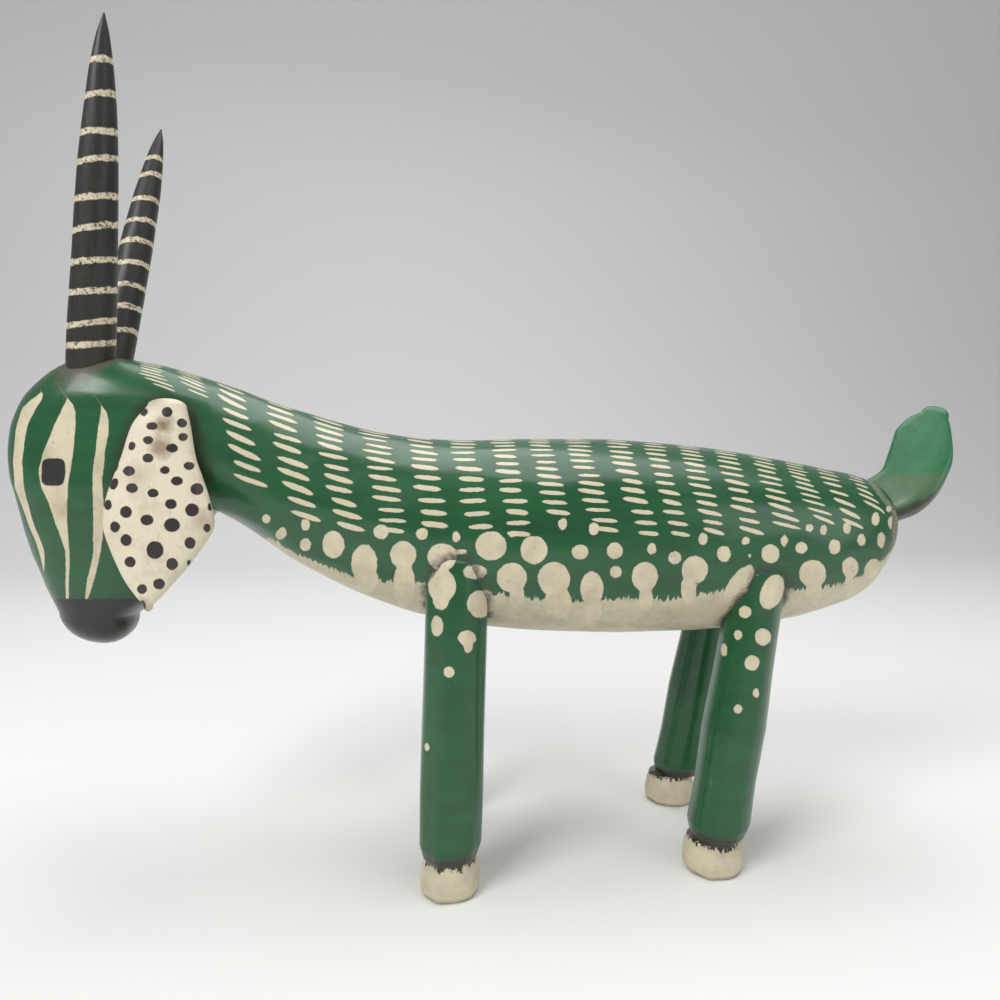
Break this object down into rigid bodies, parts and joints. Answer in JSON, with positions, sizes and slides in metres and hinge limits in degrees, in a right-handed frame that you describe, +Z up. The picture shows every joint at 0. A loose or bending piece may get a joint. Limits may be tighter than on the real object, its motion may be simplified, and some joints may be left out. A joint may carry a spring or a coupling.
{
  "type": "wooden antelope sculpture",
  "caption": "Hand-carved and painted wooden antelope standing on four straight legs, with upright ringed horns, hanging ears and a leaf-shaped tail.",
  "frame": {"origin": "on the ground, midway along and across the figure", "axes": "+X towards the tail, +Y towards the animal's right side, +Z up"},
  "size_m": [0.7932, 0.1858, 0.652],
  "materials": {
    "painted_log": "gloss enamel brushed over carved wood, with white dashes, dots and belly",
    "painted_leg": "gloss enamel over whittled wood, with white dots and hoof",
    "painted_horn": "black paint over whittled wood, with white rings",
    "painted_ear": "worn white paint over carved wood, with dark dots",
    "painted_tail": "gloss enamel over carved wood"
  },
  "bodies": {
    "root": {"body": "painted_log", "leg_front_left": "painted_leg", "leg_front_right": "painted_leg", "leg_hind_left": "painted_leg", "leg_hind_right": "painted_leg", "horn_left": "painted_horn", "horn_right": "painted_horn", "ear_left": "painted_ear", "ear_right": "painted_ear", "tail": "painted_tail"}
  },
  "joints": []
}
